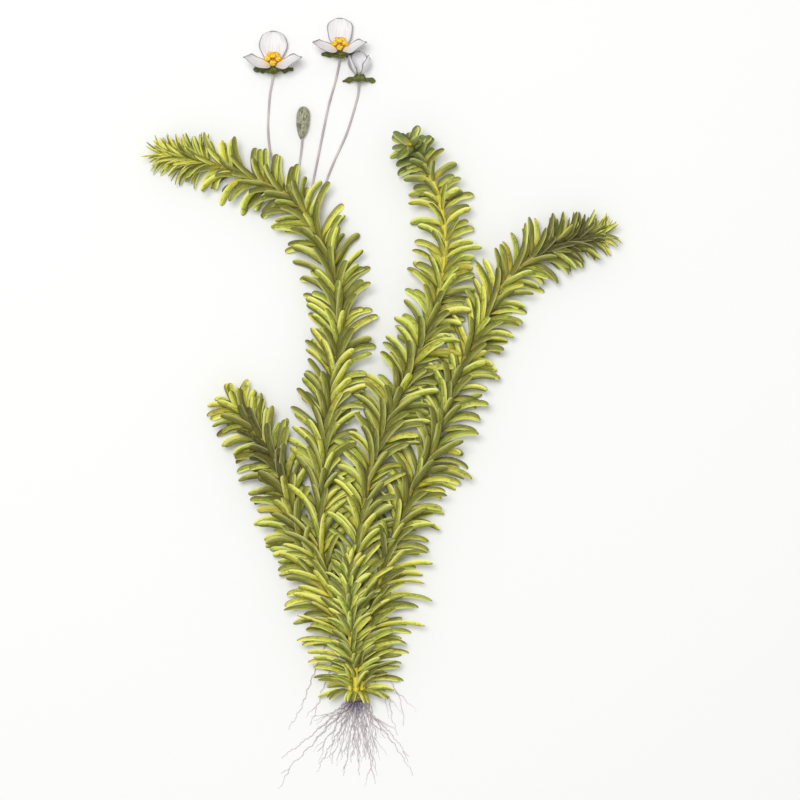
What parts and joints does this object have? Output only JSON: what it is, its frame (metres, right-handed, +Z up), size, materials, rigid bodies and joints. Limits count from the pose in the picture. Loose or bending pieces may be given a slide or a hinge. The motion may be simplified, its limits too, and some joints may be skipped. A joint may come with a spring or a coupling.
{
  "type": "brazilian waterweed",
  "caption": "Uprooted submerged water plant with leafy shoots, roots, stalked white flowers and a bud, lying flat.",
  "frame": {"origin": "on the surface that the plant lies on, under the middle of its outline", "axes": "+Y along the plant from its roots to its flowers, +Z up off the surface"},
  "size_m": [0.2116, 0.3459, 0.0233],
  "materials": {
    "leaf": "satin leaf, olive green with yellow-green lights",
    "young_leaf": "satin leaf, fresh green",
    "crown": "dull, lumpy, yellow-brown",
    "root": "dull pale grey-brown",
    "stalk": "smooth pale grey-mauve",
    "petal": "soft white with fine grey veins",
    "sepal": "dull dark olive",
    "stamen": "powdery orange-yellow",
    "bud": "mottled grey-green"
  },
  "bodies": {
    "root": {"crown": "crown", "shoot_left_tall": "leaf", "shoot_left_short": "leaf", "shoot_centre": "leaf", "shoot_right": "leaf", "shoot_young": "young_leaf", "root_01": "root", "root_02": "root", "root_03": "root", "root_04": "root", "root_05": "root", "root_06": "root", "root_07": "root", "root_08": "root", "root_09": "root", "root_10": "root", "root_11": "root", "root_12": "root", "root_13": "root", "root_14": "root", "root_15": "root", "root_16": "root", "root_17": "root", "stem_root_1": "root", "stem_root_2": "root", "stem_root_3": "root", "stem_root_4": "root", "left_flower_stalk": "stalk", "middle_flower_stalk": "stalk", "right_flower_stalk": "stalk", "bud_stalk": "stalk", "flower_bud": "bud", "left_flower_sepals": "sepal", "left_flower_petal_back": "petal", "left_flower_petal_left": "petal", "left_flower_petal_right": "petal", "left_flower_stamens": "stamen", "middle_flower_sepals": "sepal", "middle_flower_petal_back": "petal", "middle_flower_petal_left": "petal", "middle_flower_petal_right": "petal", "middle_flower_stamens": "stamen", "right_flower_sepals": "sepal", "right_flower_petal_back": "petal", "right_flower_petal_left": "petal", "right_flower_petal_right": "petal"}
  },
  "joints": []
}
